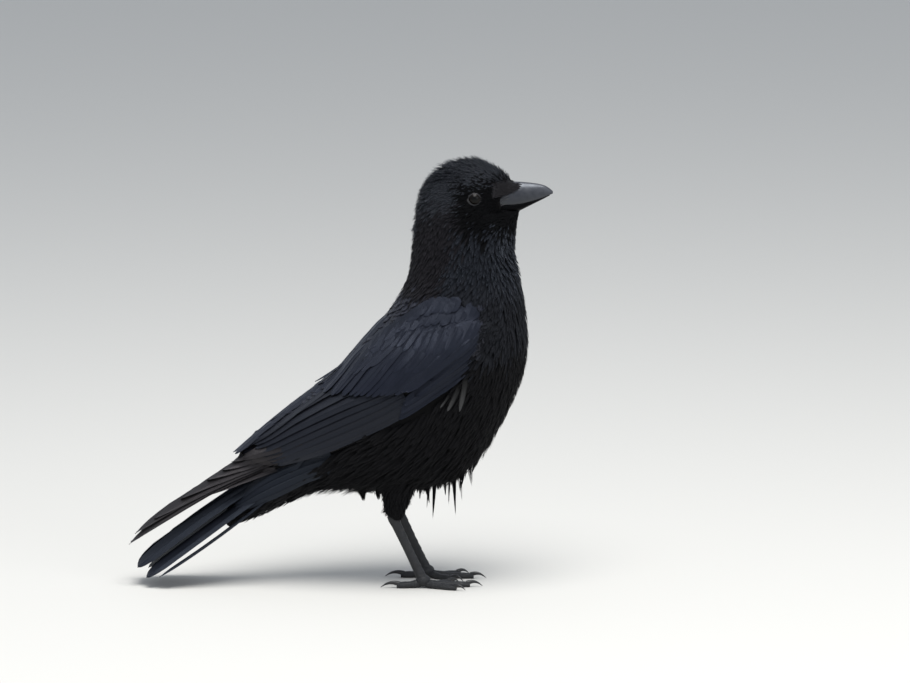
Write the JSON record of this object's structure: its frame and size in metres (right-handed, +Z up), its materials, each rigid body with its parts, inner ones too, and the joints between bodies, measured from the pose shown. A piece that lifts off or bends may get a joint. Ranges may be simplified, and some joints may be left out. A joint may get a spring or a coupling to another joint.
{
  "type": "carrion crow",
  "caption": "Black crow standing upright with folded wings, a long sloping tail, a strong straight bill and clawed feet, as a still museum model.",
  "frame": {"origin": "middle of the footprint box, on the floor", "axes": "+X forwards towards the bill, +Y to the bird's left, +Z up"},
  "size_m": [0.3516, 0.115, 0.356],
  "materials": {
    "plumage": "soft black feathers with a faint blue and purple gloss",
    "flight_feathers": "smooth black feathers with a blue gloss above and a brown tinge at the wing tips",
    "bill": "satin black horn",
    "legs": "scaly black skin",
    "claws": "polished black horn",
    "eyes": "wet dark brown"
  },
  "bodies": {
    "root": {"head": "plumage", "neck": "plumage", "trunk": "plumage", "tail_coverts": "plumage", "belly_tuft_1": "plumage", "belly_tuft_2": "plumage", "belly_tuft_3": "plumage", "belly_tuft_4": "plumage", "belly_tuft_5": "plumage", "belly_tuft_6": "plumage", "thigh_left": "plumage", "thigh_right": "plumage", "wing_left": "plumage", "wing_right": "plumage", "secondaries_left": "flight_feathers", "secondaries_right": "flight_feathers", "primaries_left": "flight_feathers", "primaries_right": "flight_feathers", "tail": "flight_feathers", "bill_upper": "bill", "bill_lower": "bill", "eye_left": "eyes", "eye_right": "eyes", "tarsus_left": "legs", "tarsus_right": "legs", "hallux_left": "legs", "hallux_right": "legs", "inner_toe_left": "legs", "inner_toe_right": "legs", "middle_toe_left": "legs", "middle_toe_right": "legs", "outer_toe_left": "legs", "outer_toe_right": "legs", "hallux_claw_left": "claws", "hallux_claw_right": "claws", "inner_toe_claw_left": "claws", "inner_toe_claw_right": "claws", "middle_toe_claw_left": "claws", "middle_toe_claw_right": "claws", "outer_toe_claw_left": "claws", "outer_toe_claw_right": "claws"}
  },
  "joints": []
}
